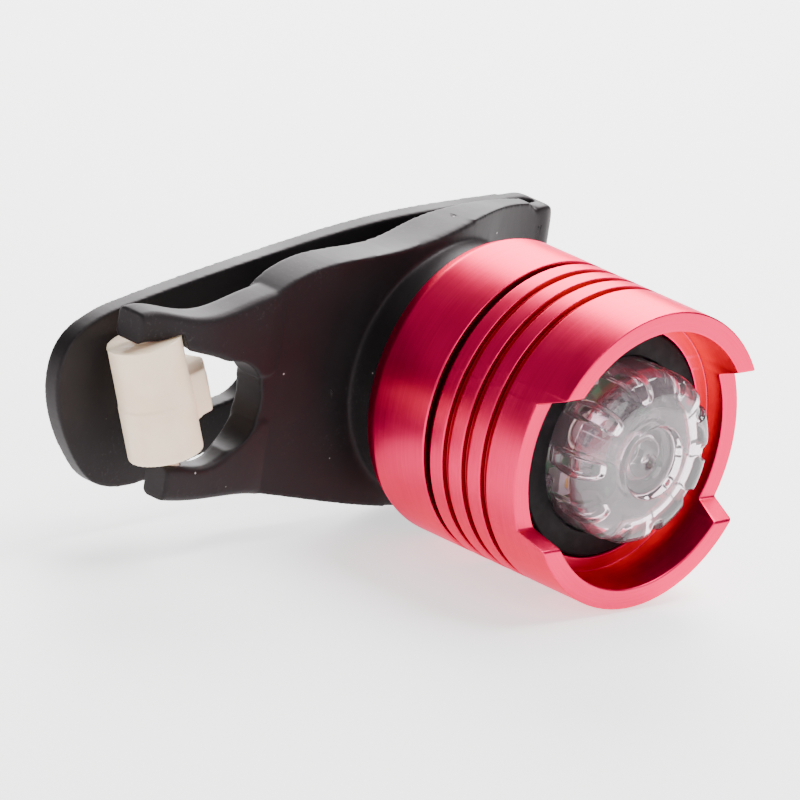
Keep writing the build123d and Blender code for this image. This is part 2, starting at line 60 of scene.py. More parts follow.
# %% [markdown]
# ## Points and corners of turned pieces
# Most of the lamp comes off a lathe. Such a piece is one outline, written as pairs of radius and distance
# ahead of the lamp's back face, and swept round the axis. A cutter never leaves a knife edge, so a helper
# puts a small round on each corner of an outline; a modifier could bevel the finished mesh, but rounding
# the outline keeps the rings even and lets each corner have its own size.

# %% Lamp axis and rounded outlines
LAMP_X = 10.0        # lamp axis, to the right of the saddle's middle
LAMP_BACK = -8.7     # back face of the lamp, along Y


def lamp_point(radius, ahead, angle):
    """Point of the lamp head in the frame, in metres."""
    x = LAMP_X + radius * math.cos(angle)
    return Vector((x * MM, (LAMP_BACK - ahead) * MM, radius * math.sin(angle) * MM))


def rounded(outline, size=0.15, steps=3):
    """Closed outline with every corner rounded; a third number in a point is that corner's own size."""
    made = []
    count = len(outline)
    for i, corner in enumerate(outline):
        here = Vector(corner[:2])
        before = Vector(outline[i - 1][:2])
        after = Vector(outline[(i + 1) % count][:2])
        own = corner[2] if len(corner) > 2 else size
        cut = min(own, (here - before).length * 0.45, (after - here).length * 0.45)
        if cut < 0.004:
            made.append(here)
            continue
        first = here + (before - here).normalized() * cut
        last = here + (after - here).normalized() * cut
        for k in range(steps + 1):
            t = k / steps
            made.append((1 - t) ** 2 * first + 2 * t * (1 - t) * here + t * t * last)
    return made


print("lamp axis at x", LAMP_X, "mm, back face at y", LAMP_BACK, "mm")

# %% [markdown]
# ## From outline to piece
# A finished piece needs a mesh, a material, smooth shading and a body to ride on, so that it follows its
# joint. The turning helper builds the rings by hand instead of with a screw modifier, because then a small
# function may move single points: that is how the thread and the flutes are cut further on.

# %% Finishing and turning helpers
def to_mesh(bm, name):
    """Writes a mesh under construction out as a named mesh."""
    mesh = bpy.data.meshes.new(name)
    bm.to_mesh(mesh)
    bm.free()
    return mesh


def finish_piece(name, mesh, material, body, weighted=True):
    """Wraps a finished mesh as a smooth-shaded piece that rides on a body."""
    piece = bpy.data.objects.new(name, mesh)
    bpy.context.scene.collection.objects.link(piece)
    mesh.materials.append(material)
    for face in mesh.polygons:
        face.use_smooth = True
    if weighted:
        piece.modifiers.new("even shading", "WEIGHTED_NORMAL").keep_sharp = True
    if body:
        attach(piece, body)
    return piece


def turned(name, outline, material, body, turns=144, shape=None):
    """Turns a closed outline about the lamp axis. shape(radius, ahead, angle) may move a point."""
    bm = bmesh.new()
    rings = []
    for j in range(turns):
        angle = 2 * math.pi * j / turns
        ring = []
        for radius, ahead in outline:
            if shape:
                radius, ahead = shape(radius, ahead, angle)
            ring.append(bm.verts.new(lamp_point(radius, ahead, angle)))
        rings.append(ring)
    count = len(outline)
    for j, a in enumerate(rings):
        b = rings[(j + 1) % turns]
        for k in range(count):
            n = (k + 1) % count
            bm.faces.new((a[k], a[n], b[n], b[k]))
    bmesh.ops.remove_doubles(bm, verts=bm.verts, dist=2e-7)
    bmesh.ops.dissolve_degenerate(bm, edges=bm.edges, dist=1e-7)
    bmesh.ops.recalc_face_normals(bm, faces=bm.faces)
    piece = finish_piece(name, to_mesh(bm, name), material, body)
    print(name, len(piece.data.vertices), "points")
    return piece


print("turning helper ready")

# %% [markdown]
# ## Building materials from noise
# A real surface is never one colour. Each finish here is a graph of noise in the object's own space, so
# nothing depends on unwrapping, on the camera or on a picture. A few small functions add one node each and
# give back its output, and then a material reads like a sentence.

# %% Material helpers
def finish(name, colour, roughness, metallic=0.0):
    """New material with its Principled shader ready; returns the material, its node tree and the shader."""
    material = bpy.data.materials.new(name)
    material.use_nodes = True
    tree = material.node_tree
    shader = tree.nodes["Principled BSDF"]
    shader.inputs["Base Color"].default_value = (*colour, 1)
    shader.inputs["Roughness"].default_value = roughness
    shader.inputs["Metallic"].default_value = metallic
    return material, tree, shader


def node(tree, kind, inputs=(), **settings):
    """Adds a node; inputs are pairs of socket and either a value or another node's output."""
    made = tree.nodes.new(kind)
    for key, value in settings.items():
        setattr(made, key, value)
    for socket, value in inputs:
        if isinstance(value, bpy.types.NodeSocket):
            tree.links.new(value, made.inputs[socket])
        else:
            made.inputs[socket].default_value = value
    return made


def place(tree):
    """The point in the object's own space, in metres."""
    return node(tree, "ShaderNodeTexCoord").outputs["Object"]


def maths(tree, operation, first, second=0.0):
    """One sum, product or other operation on two values."""
    return node(tree, "ShaderNodeMath", [(0, first), (1, second)], operation=operation).outputs[0]


def grains(tree, where, scale, detail=3.0):
    """Soft noise, with its scale in waves to the metre."""
    return node(tree, "ShaderNodeTexNoise",
                [("Vector", where), ("Scale", scale), ("Detail", detail)]).outputs["Fac"]


def ramp(tree, value, low, high, low_out=0.0, high_out=1.0):
    """Straight map of a value, clamped at both ends."""
    return node(tree, "ShaderNodeMapRange", [("Value", value), ("From Min", low), ("From Max", high),
                                             ("To Min", low_out), ("To Max", high_out)]).outputs["Result"]


def mixed(tree, share, first, second):
    """Mix of two colours; each is a socket or three numbers."""
    made = tree.nodes.new("ShaderNodeMix")
    made.data_type = "RGBA"
    for socket, value in ((0, share), (6, first), (7, second)):
        if isinstance(value, bpy.types.NodeSocket):
            tree.links.new(value, made.inputs[socket])
        elif socket == 0:
            made.inputs[0].default_value = value
        else:
            made.inputs[socket].default_value = (*value, 1)
    return made.outputs[2]


def bump(tree, shader, height, distance, strength=1.0):
    """Fine relief on a shader, from a height map."""
    made = node(tree, "ShaderNodeBump", [("Height", height), ("Distance", distance), ("Strength", strength)])
    tree.links.new(made.outputs["Normal"], shader.inputs["Normal"])


print("material helpers ready")

# %% [markdown]
# ## Anodised red
# The cup and the bezel are aluminium, turned, blasted fine and dyed red. Dye on bare metal colours what the
# metal mirrors, so the shader is metallic, and a thin clear coat gives the whiter gloss on top. Noise that
# is stretched round the lamp axis makes the rings that the cutter left. The floors of the grooves get a
# painted shade: a mask of radius and distance ahead darkens their colour where the recess lies in shade.

# %% Anodised red
def turned_place(tree):
    """Radius, distance along the lamp axis and a little of the angle, for ring-shaped grain."""
    parts = node(tree, "ShaderNodeSeparateXYZ", [(0, place(tree))]).outputs
    across = maths(tree, "SUBTRACT", parts[0], LAMP_X * MM)
    radius = maths(tree, "SQRT", maths(tree, "ADD", maths(tree, "MULTIPLY", across, across),
                                       maths(tree, "MULTIPLY", parts[2], parts[2])))
    slow = maths(tree, "MULTIPLY", maths(tree, "ARCTAN2", parts[2], across), 0.0004)
    return node(tree, "ShaderNodeCombineXYZ", [(0, radius), (1, parts[1]), (2, slow)]).outputs[0]


def painted_groove_shade_mask(tree, round_place):
    """One where the surface is a groove's floor, which gets painted shade; nought elsewhere."""
    parts = node(tree, "ShaderNodeSeparateXYZ", [(0, round_place)]).outputs
    ahead = maths(tree, "SUBTRACT", LAMP_BACK * MM, parts[1])
    below_skin = maths(tree, "MULTIPLY", ramp(tree, parts[0], 0.01540, 0.01588, 1.0, 0.0),
                       ramp(tree, parts[0], 0.0150, 0.0152))
    between_ends = maths(tree, "MULTIPLY", ramp(tree, ahead, 0.0026, 0.0028),
                         ramp(tree, ahead, 0.0185, 0.0187, 1.0, 0.0))
    return maths(tree, "MULTIPLY", below_skin, between_ends)


def anodised(name, colour, dark, groove):
    """Dyed metal with lathe rings, smudges and painted shade in the grooves."""
    material, tree, shader = finish(name, colour, 0.32, 1.0)
    round_place = turned_place(tree)
    rings = grains(tree, round_place, 5200.0, 2.0)
    grit = grains(tree, place(tree), 9000.0, 2.0)
    smudge = grains(tree, place(tree), 160.0, 4.0)
    tint = maths(tree, "ADD", maths(tree, "MULTIPLY", rings, 0.55), maths(tree, "MULTIPLY", smudge, 0.45))
    skin = mixed(tree, ramp(tree, tint, 0.35, 0.65), dark, colour)
    # The groove floors get a painted shade colour, standing in for the shade inside the recess.
    tree.links.new(mixed(tree, painted_groove_shade_mask(tree, round_place), skin, groove), shader.inputs["Base Color"])
    blur = maths(tree, "ADD", ramp(tree, rings, 0.3, 0.7, 0.0, 0.04),
                 ramp(tree, smudge, 0.3, 0.7, 0.30, 0.36))
    tree.links.new(blur, shader.inputs["Roughness"])
    height = maths(tree, "ADD", maths(tree, "MULTIPLY", rings, 0.7), maths(tree, "MULTIPLY", grit, 0.3))
    bump(tree, shader, height, 0.000006, 0.4)
    shader.inputs["Specular Tint"].default_value = (1.0, 0.08, 0.42, 1)
    shader.inputs["Coat Weight"].default_value = 0.16
    shader.inputs["Coat Roughness"].default_value = 0.25
    return material


# The third colour is the painted shade of the groove floors.
red = anodised("anodised_red", (0.80, 0.0, 0.094), (0.70, 0.0, 0.072), (0.32, 0.0, 0.018))
print("anodised red ready")

# %% [markdown]
# ## Black silicone
# Silicone rubber is dull and very dark, it mirrors little, and it collects dust and lint. Round specks and
# short threads come from two cell patterns: a random colour in each cell picks the few that show. One
# pattern is stretched, so that its specks become threads. A touch of sheen lights the edges, as fine dust
# does.

# %% Silicone with dust and lint
def scattered(tree, where, scale, channel, size, share):
    """One at a few random cells: channel picks them, size and share are the ends of two ramps."""
    cells = node(tree, "ShaderNodeTexVoronoi", [("Vector", where), ("Scale", scale)]).outputs
    pick = node(tree, "ShaderNodeSeparateColor", [(0, cells["Color"])]).outputs
    near_middle = ramp(tree, cells["Distance"], *size, 1.0, 0.0)
    return maths(tree, "MULTIPLY", near_middle, ramp(tree, pick[channel], *share))


def silicone(name):
    """Dull black rubber with drifting tone, dust, specks and lint."""
    material, tree, shader = finish(name, (0.012, 0.012, 0.013), 0.5)
    where = place(tree)
    cloud = grains(tree, where, 90.0, 4.0)
    fine = grains(tree, where, 2600.0, 3.0)
    speck = scattered(tree, where, 620.0, 0, (0.05, 0.09), (0.84, 0.87))
    stretched = node(tree, "ShaderNodeMapping", [("Vector", where), ("Rotation", (0.5, 0.9, 0.4)),
                                                 ("Scale", (1.0, 7.0, 7.0))]).outputs[0]
    lint = scattered(tree, stretched, 150.0, 1, (0.03, 0.08), (0.95, 0.97))
    dust = maths(tree, "MULTIPLY", ramp(tree, fine, 0.58, 0.74), ramp(tree, cloud, 0.48, 0.75, 0.0, 0.16))
    skin = mixed(tree, ramp(tree, cloud, 0.3, 0.7), (0.003, 0.0028, 0.0032), (0.006, 0.0055, 0.006))
    skin = mixed(tree, dust, skin, (0.16, 0.15, 0.15))
    fluff = maths(tree, "MULTIPLY", maths(tree, "MAXIMUM", speck, lint), 0.75)
    skin = mixed(tree, fluff, skin, (0.45, 0.42, 0.41))
    tree.links.new(skin, shader.inputs["Base Color"])
    tree.links.new(ramp(tree, cloud, 0.3, 0.7, 0.46, 0.6), shader.inputs["Roughness"])
    shader.inputs["Specular IOR Level"].default_value = 0.22
    shader.inputs["Specular Tint"].default_value = (1.0, 0.84, 0.88, 1)
    shader.inputs["Sheen Weight"].default_value = 0.08
    shader.inputs["Sheen Roughness"].default_value = 0.4
    shader.inputs["Sheen Tint"].default_value = (1.0, 0.86, 0.89, 1)
    bump(tree, shader, maths(tree, "ADD", maths(tree, "MULTIPLY", fine, 0.35), cloud), 0.00006, 0.35)
    return material


black_silicone = silicone("silicone_black")
print("silicone ready")

# %% [markdown]
# ## Moulded plastic, rubber and plated metal
# The small parts share one recipe: a slow drift between two near colours, a fine grain in the relief and an
# uneven gloss. Only the numbers differ, so one function makes them all. The nylon of the hook lets a little
# light in, which softens its shadows, and the rubber mirrors less than plastic does.

# %% Small finishes
def moulded(name, colour, shade, roughness, grain=1400.0, depth=0.00002, metallic=0.0):
    """Moulded or plated finish: slow colour drift, fine grain and uneven gloss."""
    material, tree, shader = finish(name, colour, roughness, metallic)
    where = place(tree)
    slow = grains(tree, where, 240.0, 4.0)
    fine = grains(tree, where, grain, 3.0)
    tree.links.new(mixed(tree, ramp(tree, slow, 0.35, 0.65), shade, colour), shader.inputs["Base Color"])
    gloss = ramp(tree, fine, 0.3, 0.7, roughness - 0.06, roughness + 0.08)
    tree.links.new(gloss, shader.inputs["Roughness"])
    bump(tree, shader, fine, depth, 0.4)
    return material


def shader_of(material):
    """The Principled shader of a material."""
    return material.node_tree.nodes["Principled BSDF"]


nylon = moulded("nylon_ivory", (0.96, 0.77, 0.58), (0.92, 0.69, 0.49), 0.36, 900.0)
shader_of(nylon).inputs["Subsurface Weight"].default_value = 0.2
shader_of(nylon).inputs["Subsurface Radius"].default_value = (0.0022, 0.0016, 0.0011)
shader_of(nylon).inputs["Subsurface Scale"].default_value = 1.0
black_rubber = moulded("rubber_black", (0.004, 0.003, 0.004), (0.002, 0.002, 0.002), 0.55)
shader_of(black_rubber).inputs["Specular IOR Level"].default_value = 0.14
black_plastic = moulded("part_black", (0.020, 0.020, 0.021), (0.012, 0.012, 0.012), 0.42)
white_plastic = moulded("part_white", (0.82, 0.82, 0.79), (0.72, 0.72, 0.70), 0.3)
phosphor = moulded("phosphor_yellow", (0.86, 0.64, 0.12), (0.74, 0.50, 0.08), 0.35, 4000.0)
grey_ceramic = moulded("resistor_grey", (0.06, 0.06, 0.065), (0.03, 0.03, 0.035), 0.25)
plated_steel = moulded("steel", (0.62, 0.61, 0.58), (0.48, 0.47, 0.45), 0.28, 3000.0, 0.00001, 1.0)
cell_steel = moulded("cell_steel", (0.72, 0.71, 0.69), (0.60, 0.59, 0.57), 0.3, 5000.0, 0.00001, 1.0)
nickel = moulded("contact_nickel", (0.74, 0.69, 0.58), (0.60, 0.55, 0.46), 0.3, 4000.0, 0.00001, 1.0)
tin = moulded("solder_tin", (0.70, 0.70, 0.71), (0.50, 0.50, 0.52), 0.25, 2500.0, 0.00003, 1.0)
print(len(bpy.data.materials), "materials so far")

# %% [markdown]
# ## Green board
# A circuit board is glass fibre under a green mask. The copper tracks lie under the mask and show as
# lighter bands with dark gaps. A cell pattern measured along the axes gives straight runs with square
# turns, much like tracks, so no track has to be drawn.

# %% Solder mask
def solder_mask(name):
    """Green mask over copper tracks, which stand up a little."""
    material, tree, shader = finish(name, (0.02, 0.22, 0.07), 0.3)
    cells = node(tree, "ShaderNodeTexVoronoi", [("Vector", place(tree)), ("Scale", 520.0)],
                 distance="MANHATTAN").outputs["Distance"]
    gaps = ramp(tree, cells, 0.42, 0.50)
    tree.links.new(mixed(tree, gaps, (0.03, 0.30, 0.10), (0.008, 0.13, 0.04)), shader.inputs["Base Color"])
    bump(tree, shader, maths(tree, "SUBTRACT", 1.0, gaps), 0.00003, 0.6)
    shader.inputs["Coat Weight"].default_value = 0.5
    return material


board_green = solder_mask("board_green")
print("board green ready")

# %% [markdown]
# ## Clear lens
# The lens is moulded polycarbonate. Pure glass would be too perfect: a real moulding has flow marks, and a
# thumb leaves scratches. A small share of the light is scattered instead of let through, which gives the
# milky, faintly lilac veil that hides most of the board.

# %% Clear polycarbonate
def clear_lens(name):
    """Clear plastic with a slight veil, flow marks and handling scratches."""
    material, tree, shader = finish(name, (0.95, 0.83, 0.89), 0.015)
    shader.inputs["Transmission Weight"].default_value = 0.94
    shader.inputs["IOR"].default_value = 1.57
    where = place(tree)
    flow = grains(tree, where, 300.0, 2.0)
    scratched = node(tree, "ShaderNodeMapping", [("Vector", where), ("Rotation", (0.3, 0.2, 0.7)),
                                                 ("Scale", (1.0, 1.0, 14.0))]).outputs[0]
    marks = ramp(tree, grains(tree, scratched, 700.0, 2.0), 0.66, 0.74)
    haze = maths(tree, "ADD", maths(tree, "MULTIPLY", marks, 0.12), ramp(tree, flow, 0.3, 0.7, 0.005, 0.03))
    tree.links.new(haze, shader.inputs["Roughness"])
    bump(tree, shader, flow, 0.00004, 0.3)
    return material


lens_clear = clear_lens("lens_clear")
print(len(bpy.data.materials), "materials")

# %% [markdown]
# ## Rear cup and its thread
# The cup is the battery side of the head: bar stock turned to 32 mm, bored for the cells and threaded on
# its neck. The thread is cut into the neck as a real helix, because unscrewing the bezel lays it bare; a
# bump map would show a smooth edge there. The neck gets close rows of points, and the shape function moves
# them inwards.

# %% Cup with a threaded neck
BARREL = 16.0
NECK = 13.2
THREAD_START = 10.75
THREAD_END = 14.2
THREAD_DEPTH = 0.34
THREAD_FADE = 0.35
ROW = 0.1


def neck_thread(radius, ahead, angle):
    """Cuts a 1 mm pitch helix into the neck, fading out at both ends."""
    if abs(radius - NECK) > 0.02 or not THREAD_START < ahead < THREAD_END:
        return radius, ahead
    fade = min(1.0, (ahead - THREAD_START) / THREAD_FADE, (THREAD_END - ahead) / THREAD_FADE)
    wave = 0.5 - 0.5 * math.cos(2 * math.pi * (ahead - angle / (2 * math.pi)))
    return radius - THREAD_DEPTH * fade * wave, ahead


thread_rows = int((THREAD_END - THREAD_START) / ROW) + 1
neck = [(NECK, THREAD_START + ROW * k, 0.0) for k in range(thread_rows)]
cup_back = [(1.25, 0.0), (15.3, 0.0, 0.3), (BARREL, 1.5, 0.3), (BARREL, 9.0, 0.22)]
seal_seat = [(12.75, 9.0), (12.75, 10.5), (NECK, 10.5, 0.1)]
cup_bore = [(NECK, 14.5, 0.3), (11.6, 14.5), (11.6, 2.2), (2.35, 2.2), (2.35, 0.8), (1.25, 0.8)]
cup_outline = rounded(cup_back + seal_seat + neck + cup_bore)
rear_cup = turned("rear_cup_shell", cup_outline, red, "lamp", 180, neck_thread)
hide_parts("rear_cup")

# %% [markdown]
# ## Waist seal
# A rubber ring keeps rain out between the cup and the bezel, and fills the dark gap at the lamp's waist.
# Its outline is a circle a hair thinner than the ring's groove is wide, turned like any other piece.

# %% Seal ring
SEAL_RADIUS = 0.69
SEAL_MIDDLE = (13.45, 9.75)
SEAL_SIDES = 20
seal_outline = []
for k in range(SEAL_SIDES):
    turn = 2 * math.pi * k / SEAL_SIDES
    across = SEAL_MIDDLE[0] + SEAL_RADIUS * math.cos(turn)
    seal_outline.append((across, SEAL_MIDDLE[1] + SEAL_RADIUS * math.sin(turn)))
seal = turned("seal_ring", seal_outline, black_rubber, "lamp", 120)
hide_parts("waist_seal")

# %% [markdown]
# ## Columns of the notched bezel
# One cutter passes straight through both walls of the rim and leaves a notch on each side. Its walls are
# planes, so a corner of the notch sits at another angle on the bore than on the outside. A boolean would
# cut it, but would leave long thin faces. Here each column of the mesh keeps its height above the notch's
# middle, not its angle, and the corners of the notch stay sharp and evenly shaded.

# %% Columns round the bezel
RIM = 25.7
FLOOR = 22.3
MOUTH_HALF = 8.1
FLOOR_HALF = 6.8
BEYOND_MOUTH = 12.0


def notch_columns():
    """Columns of one quarter, from the notch's middle upwards: height above it, drop of the rim, share."""
    drop = RIM - FLOOR
    corner = rounded([(0.0, drop, 0.0), (FLOOR_HALF, drop, 0.22), (MOUTH_HALF, 0.0, 0.28),
                      (BEYOND_MOUTH, 0.0, 0.0)], 0.22, 4)
    wall = [(height, low) for height, low in corner if 0.01 < height < BEYOND_MOUTH - 0.1]
    floor_part = [(wall[0][0] * k / 7, drop, None) for k in range(1, 7)]
    wall_part = [(height, low, None) for height, low in wall]
    rim_part = [(wall[-1][0], 0.0, k / 14) for k in range(1, 14)]
    return floor_part + wall_part + rim_part


def bezel_columns():
    """All columns round the bezel: quarter, height above the notch, drop and share of the way to the top."""
    upward = [(0.0, RIM - FLOOR, None)] + notch_columns()
    downward = [(None, 0.0, None)] + notch_columns()[::-1]
    made = []
    for quarter in range(4):
        for height, drop, share in upward if quarter % 2 == 0 else downward:
            made.append((quarter, height, drop, share))
    return made


def bezel_angle(column, radius):
    """Angle of a column at a radius: beside the notch it keeps its height, elsewhere it spreads evenly."""
    quarter, height, drop, share = column
    if height is None:
        return math.pi / 2 * quarter
    bend = math.asin(min(1.0, height / radius))
    if share is not None:
        bend += (math.pi / 2 - bend) * share
    return math.pi / 2 * quarter + bend if quarter % 2 == 0 else math.pi / 2 * (quarter + 1) - bend


print("bezel columns:", len(bezel_columns()))

# %% [markdown]
# ## Front bezel
# The bezel is the second turned piece: a barrel with three grooves, which help a wet hand to unscrew it, an
# inner lip that holds the collar, and the notched rim. The grooves repeat, so a loop writes their corners.

# %% Bezel with its milled notch
RIM_BORE = 13.85
GROOVE_FLOOR = 15.3
FIRST_GROOVE = 11.75
GROOVE_PITCH = 2.75
GROOVE_WIDTH = 0.9
LAST_PLAIN = 21.6     # last ring of points that the notch leaves alone
NOTCH_FROM = 22.0     # points further ahead than this sink with the notch

bezel_profile = [(14.3, 9.9, 0.15), (BARREL, 9.9, 0.22)]
for k in range(3):
    start = FIRST_GROOVE + GROOVE_PITCH * k
    bezel_profile += [(BARREL, start, 0.16), (GROOVE_FLOOR, start, 0.12),
                      (GROOVE_FLOOR, start + GROOVE_WIDTH, 0.12), (BARREL, start + GROOVE_WIDTH, 0.16)]
bezel_profile += [(BARREL, LAST_PLAIN, 0.0), (BARREL, RIM, 0.18), (RIM_BORE, RIM, 0.18),
                  (RIM_BORE, LAST_PLAIN, 0.0), (RIM_BORE, 20.0, 0.15), (12.3, 20.0, 0.18),
                  (12.3, 18.8, 0.15), (13.25, 18.8, 0.1), (13.25, 10.6, 0.1), (14.3, 10.6, 0.1)]


def make_bezel(outline):
    """Bezel with each column lowered at the rim by the notch's drop there."""
    bm = bmesh.new()
    rings = []
    for column in bezel_columns():
        ring = []
        for radius, ahead in outline:
            low = ahead - column[2] if ahead > NOTCH_FROM else ahead
            ring.append(bm.verts.new(lamp_point(radius, low, bezel_angle(column, radius))))
        rings.append(ring)
    count = len(outline)
    for j, a in enumerate(rings):
        b = rings[(j + 1) % len(rings)]
        for k in range(count):
            n = (k + 1) % count
            bm.faces.new((a[k], a[n], b[n], b[k]))
    bmesh.ops.recalc_face_normals(bm, faces=bm.faces)
    return finish_piece("bezel_shell", to_mesh(bm, "bezel"), red, "bezel")


bezel = make_bezel(rounded(bezel_profile, 0.16))
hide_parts("front_bezel")
print(bezel.name, len(bezel.data.vertices), "points")

# %% [markdown]
# ## Rubber collar
# The lens is pressed with a thumb to switch the light, so it floats in a rubber collar that also keeps rain
# out. The collar is nearly flat, with a lip that stands a little into the bezel.

# %% Collar
collar_outline = rounded([
    (9.45, 17.6, 0.1), (13.2, 17.6, 0.1), (13.2, 18.8, 0.1), (12.15, 18.8, 0.1), (12.15, 20.1, 0.25),
    (9.45, 20.3, 0.25)])
collar = turned("rubber_collar", collar_outline, black_rubber, "insert", 144)
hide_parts("lens_collar")

# %% [markdown]
# ## Outline of the lens
# The lens is a cap with a rounded shoulder, a flat face, a thumb dimple and a post behind it that reaches
# the switch. Where the flutes will come the outline needs many points, so the side, the shoulder and the
# inner wall are laid out by loops, and the rest has only the points that its shape asks for.

# %% Lens outline
LENS = 9.3              # radius of the side
LENS_WALL = 7.9         # radius of the inner wall
LENS_REACH = 26.2       # front face
FACE = 6.7              # radius where the shoulder meets the face
RUN = 2.6               # shoulder, along the radius
RISE = 2.4              # shoulder, along the axis
SIDE_START = 20.4
SIDE_END = LENS_REACH - RISE
DIMPLE_EDGE = 4.15
DIMPLE_SLOPE = 0.75
DIMPLE_DEPTH = 0.62


def lens_outline():
    """Outside from the flange to the middle of the face, then back along the inside."""
    flange = rounded([(11.45, 16.3, 0.1), (11.45, 17.45, 0.2), (LENS, 17.45, 0.3), (LENS, 20.2, 0.0),
                      (LENS, LENS_REACH, 0.0)], 0.1)[:-1]
    side = [(LENS, SIDE_START + (SIDE_END - SIDE_START) * k / 16) for k in range(16)]
    turns = [math.pi / 2 * k / 24 for k in range(25)]
    shoulder = [(FACE + RUN * math.cos(turn), SIDE_END + RISE * math.sin(turn)) for turn in turns]
    face = [(FACE - 0.35 * k, LENS_REACH) for k in range(1, 7)]
    slope = []
    for k in range(9):
        sunk = DIMPLE_DEPTH * (0.5 - 0.5 * math.cos(math.pi * k / 8))
        slope.append((DIMPLE_EDGE - DIMPLE_SLOPE * k / 8, LENS_REACH - sunk))
    dimple = [(2.6, LENS_REACH - 0.66), (1.4, LENS_REACH - 0.7), (0.02, LENS_REACH - 0.7)]
    post = [(0.02, 17.72), (1.7, 17.72), (2.0, 17.95), (2.0, 24.0), (2.3, 24.4)]
    inner_face = [(5.0, 24.45), (6.0, 24.4), (6.6, 24.25), (7.0, 24.1), (7.35, 23.85), (7.6, 23.6),
                  (7.8, 23.2)]
    inner_wall = [(LENS_WALL, 22.8 - 0.3 * k) for k in range(12)] + [(LENS_WALL, 16.5), (8.05, 16.3)]
    return flange + side + shoulder + face + slope + dimple + post + inner_face + inner_wall


print("lens outline:", len(lens_outline()), "points")

# %% [markdown]
# ## Flutes
# Ten long ovals are pressed into the shoulder, and ten scallops into the inner wall behind them. Together
# they bend the light of the small chips sideways, so that the lamp is seen from all round. Each point near
# a flute is moved along the shoulder's own normal; the depth falls off to the oval's edge.

# %% Lens with flutes
FLUTES = 10
FLUTE_DEPTH = 0.45
FLUTE_HALF_WIDTH = 1.1
FLUTE_MIDDLE = -0.55      # along the shoulder, counted back from where the side ends
FLUTE_HALF_LENGTH = 3.25
SCALLOP_DEPTH = 0.6
SCALLOP_HALF_WIDTH = 0.95
SCALLOP_MIDDLE = 21.9
SCALLOP_HALF_LENGTH = 2.0


def scallop(radius, ahead, off):
    """Inner wall pushed outwards in an oval; off is the angle from the scallop's middle."""
    reach = 1 - ((ahead - SCALLOP_MIDDLE) / SCALLOP_HALF_LENGTH) ** 2
    across = off * LENS_WALL / SCALLOP_HALF_WIDTH
    if reach <= 0 or abs(across) >= 1:
        return radius, ahead
    return radius + SCALLOP_DEPTH * min(1.0, 2.2 * (1 - across * across)) * min(1.0, 2.5 * reach), ahead


def flute(radius, ahead, off):
    """Outside pressed inwards in an oval that runs along the side and over the shoulder."""
    turn = 0.0
    along = SIDE_END - ahead
    if ahead > SIDE_END:
        turn = math.atan2((ahead - SIDE_END) / RISE, max(0.001, (radius - FACE) / RUN))
        along = -2.5 * turn
    reach = 1 - ((along - FLUTE_MIDDLE) / FLUTE_HALF_LENGTH) ** 2
    if reach <= 0:
        return radius, ahead
    across = off * max(radius, 7.0) / (FLUTE_HALF_WIDTH * reach ** 0.35)
    if abs(across) >= 1:
        return radius, ahead
    depth = FLUTE_DEPTH * min(1.0, 3.0 * (1 - across * across)) * min(1.0, 3.2 * reach)
    return radius - depth * math.cos(turn), ahead - depth * math.sin(turn)


def fluted(radius, ahead, angle):
    """Sends a point of the lens to the scallops, to the flutes or to neither."""
    pitch = 2 * math.pi / FLUTES
    off = (angle + pitch / 2) % pitch - pitch / 2
    if 7.3 < radius < 8.0 and 19.8 < ahead < 24.0:
        return scallop(radius, ahead, off)
    inside = radius < 8.2 and ahead < 24.6
    if ahead < SIDE_START or radius < FACE - 0.1 or inside:
        return radius, ahead
    return flute(radius, ahead, off)


lens = turned("lens_cap", lens_outline(), lens_clear, "lens", 360, fluted)
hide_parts("lens")

# %% [markdown]
# ## Softening a moulding
# The saddle, the fork and the strap are one soft moulding. Rebuilding the joined solids from small cells
# fuses them into one skin, and smoothing that skin rounds every edge as a mould does. The cells are finer
# than the final mesh needs, or slanting edges would show steps, so the skin is thinned out afterwards. A
# bevel would keep fewer points, but fails where many slanting faces meet.

# %% Softening helpers
def softened(name, nodes, cell, rounds):
    """One smooth mesh from the named solids: joined by small cells, relaxed, and thinned to half."""
    bm = bmesh.new()
    for each in nodes:
        bm.from_mesh(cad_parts[each].data)
    base = bpy.data.objects.new(name + "_base", to_mesh(bm, name + "_base"))
    bpy.context.scene.collection.objects.link(base)
    cells = base.modifiers.new("cells", "REMESH")
    cells.mode = "VOXEL"
    cells.voxel_size = cell * MM
    relax = base.modifiers.new("relax", "SMOOTH")
    relax.factor = 0.5
    relax.iterations = rounds
    fewer = base.modifiers.new("fewer", "DECIMATE")
    fewer.ratio = 0.5
    graph = bpy.context.evaluated_depsgraph_get()
    made = bpy.data.meshes.new_from_object(base.evaluated_get(graph))
    bpy.data.objects.remove(base)
    made.name = name
    return made


def relaxed(bm, chosen, rounds):
    """Smooths only the chosen points, a little at a time."""
    for _ in range(rounds):
        bmesh.ops.smooth_vert(bm, verts=chosen, factor=0.5,
                              use_axis_x=True, use_axis_y=True, use_axis_z=True)


print("softening helpers ready")

# %% [markdown]
# ## The silicone moulding
# The mount's plate flares into a round boss behind the lamp, and the strap's fold has soft ends. Both are
# rounder than the other edges, so their points are chosen by place and relaxed further. The skin is then
# cut along a plane at the fold, where the strap will bend.

# %% One skin, with a soft boss and soft fold ends
FOLD_CUT = 25.7
FOOT_RADII = (11.8, 15.6)      # from the lamp axis
FOOT_DEPTHS = (-7.2, -1.0)     # along Y
FOLD_ENDS_FROM = 23.6          # along X
FOLD_TOP = 12.4                # above this, along Z
FOLD_BOTTOM = -12.6            # below this, along Z
STRAP_EDGE = (-8.6, -5.4)      # between these, along Z

moulding = softened("moulding", ["mount_body", "strap", "strap_bend"], 0.15, 9)
skin = bmesh.new()
skin.from_mesh(moulding)


